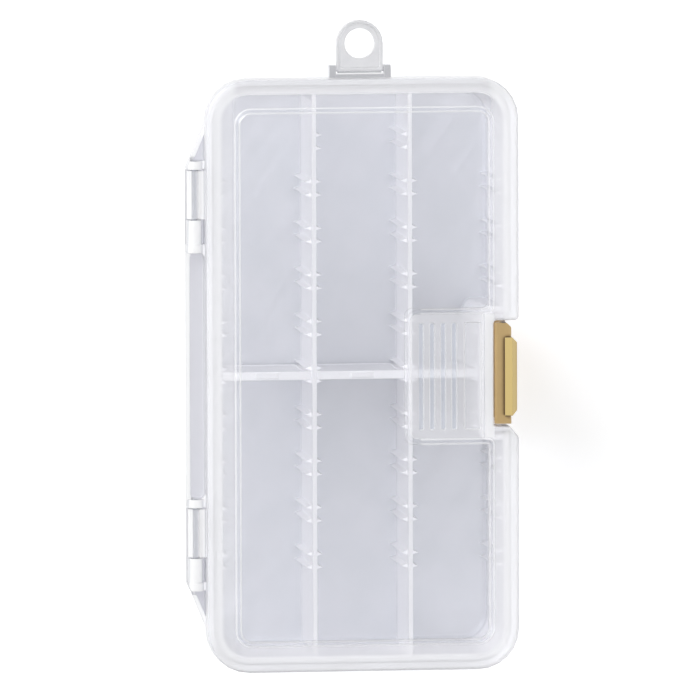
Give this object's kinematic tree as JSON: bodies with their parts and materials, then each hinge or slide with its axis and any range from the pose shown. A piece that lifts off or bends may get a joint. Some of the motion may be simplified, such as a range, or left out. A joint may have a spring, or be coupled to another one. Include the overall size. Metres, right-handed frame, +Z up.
{
  "type": "worm box",
  "caption": "Flat translucent case for soft lures, with a hinged lid, swing latch, hang tab and cross dividers that sit in ribbed slots",
  "frame": {"origin": "on the flat underside of the case, below the middle of the lid", "axes": "+Y points to the hang tab, +X to the latch, -X to the hinges, +Z up through the lid"},
  "size_m": [0.0902, 0.1764, 0.031],
  "materials": {
    "case_plastic": "milky translucent polypropylene, lightly frosted outside",
    "lid_plastic": "clear glossy window with a frosted milky border",
    "latch_plastic": "gold plastic with a soft sheen",
    "tab_plastic": "milky translucent plastic",
    "pin_metal": "drawn steel wire",
    "divider_plastic": "milky translucent polypropylene"
  },
  "bodies": {
    "case": {"case_body": "case_plastic", "hinge_pin_upper": "pin_metal", "hinge_pin_lower": "pin_metal", "divider_left": "divider_plastic", "divider_middle": "divider_plastic", "divider_right": "divider_plastic"},
    "lid": {"lid": "lid_plastic"},
    "latch": {"latch": "latch_plastic"},
    "hang_tab": {"hang_tab": "tab_plastic"}
  },
  "joints": [
    {"name": "lid_hinge", "type": "hinge", "parent": "case", "child": "lid", "pos_m": [-0.0453, 0, 0.02465], "axis": [0, -1, 0], "range_deg": [0, 180]},
    {"name": "latch_hinge", "type": "hinge", "parent": "case", "child": "latch", "pos_m": [0.0366, 0, 0.008], "axis": [0, 1, 0], "range_deg": [0, 90]},
    {"name": "hang_tab_hinge", "type": "hinge", "parent": "case", "child": "hang_tab", "pos_m": [0, 0.0825, 0.0226], "axis": [-1, 0, 0], "range_deg": [0, 90]}
  ]
}
